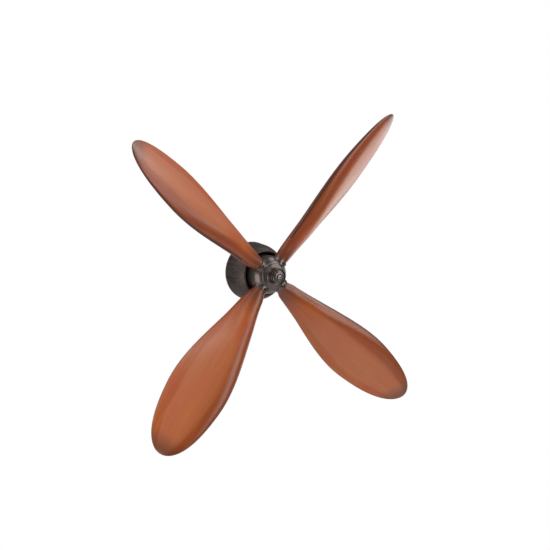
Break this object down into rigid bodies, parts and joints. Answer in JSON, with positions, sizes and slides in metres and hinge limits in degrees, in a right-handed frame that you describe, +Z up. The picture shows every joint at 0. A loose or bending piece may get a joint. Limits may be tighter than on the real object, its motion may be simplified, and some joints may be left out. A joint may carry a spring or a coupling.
{
  "type": "wall mounted propeller",
  "caption": "Ornamental propeller with carved wooden blades in a cast hub, turning on ball bearings in front of a bell-shaped wall mount.",
  "frame": {"origin": "centre of the wall plate's back face, on the shaft's axis", "axes": "+Y goes into the wall along the shaft, -Y is the way the nose points, +Z is up, +X is to the right as seen from the nose"},
  "size_m": [0.6083, 0.1363, 0.6128],
  "materials": {
    "stained_wood": "satin varnish over a red-brown stain",
    "cast_metal": "smooth dark casting",
    "bell_metal": "satin gunmetal",
    "bright_steel": "machined",
    "dark_steel": "black oxide",
    "felt": "pressed felt"
  },
  "bodies": {
    "wall_mount": {"wall_plate": "dark_steel", "bell_cover": "bell_metal", "bell_screw_1": "dark_steel", "bell_screw_2": "dark_steel", "bell_screw_3": "dark_steel", "bearing_housing": "cast_metal", "housing_screw_1": "dark_steel", "housing_screw_2": "dark_steel", "housing_screw_3": "dark_steel", "housing_screw_4": "dark_steel", "bearing_retaining_ring": "bright_steel", "rear_bearing_outer_ring": "bright_steel", "rear_bearing_ball_cage": "bright_steel", "front_bearing_outer_ring": "bright_steel", "front_bearing_ball_cage": "bright_steel"},
    "rotor": {"shaft": "bright_steel", "shaft_circlip": "bright_steel", "bearing_spacer": "bright_steel", "rear_bearing_inner_ring": "bright_steel", "front_bearing_inner_ring": "bright_steel", "hub_key": "dark_steel", "hub": "cast_metal", "dust_seal": "felt", "hub_washer": "bright_steel", "hub_nut": "dark_steel", "blade_1": "stained_wood", "blade_2": "stained_wood", "blade_3": "stained_wood", "blade_4": "stained_wood", "blade_stud_1": "bright_steel", "blade_stud_2": "bright_steel", "blade_stud_3": "bright_steel", "blade_stud_4": "bright_steel", "blade_lock_screw_1": "dark_steel", "blade_lock_screw_2": "dark_steel", "blade_lock_screw_3": "dark_steel", "blade_lock_screw_4": "dark_steel", "nose_dome": "cast_metal", "nose_cap": "cast_metal", "nose_washer": "bright_steel", "nose_screw": "bright_steel"}
  },
  "joints": [
    {"name": "rotor_spin", "type": "hinge", "parent": "wall_mount", "child": "rotor", "pos_m": [0, -0.072, 0], "axis": [0, -1, 0], "continuous": true}
  ]
}
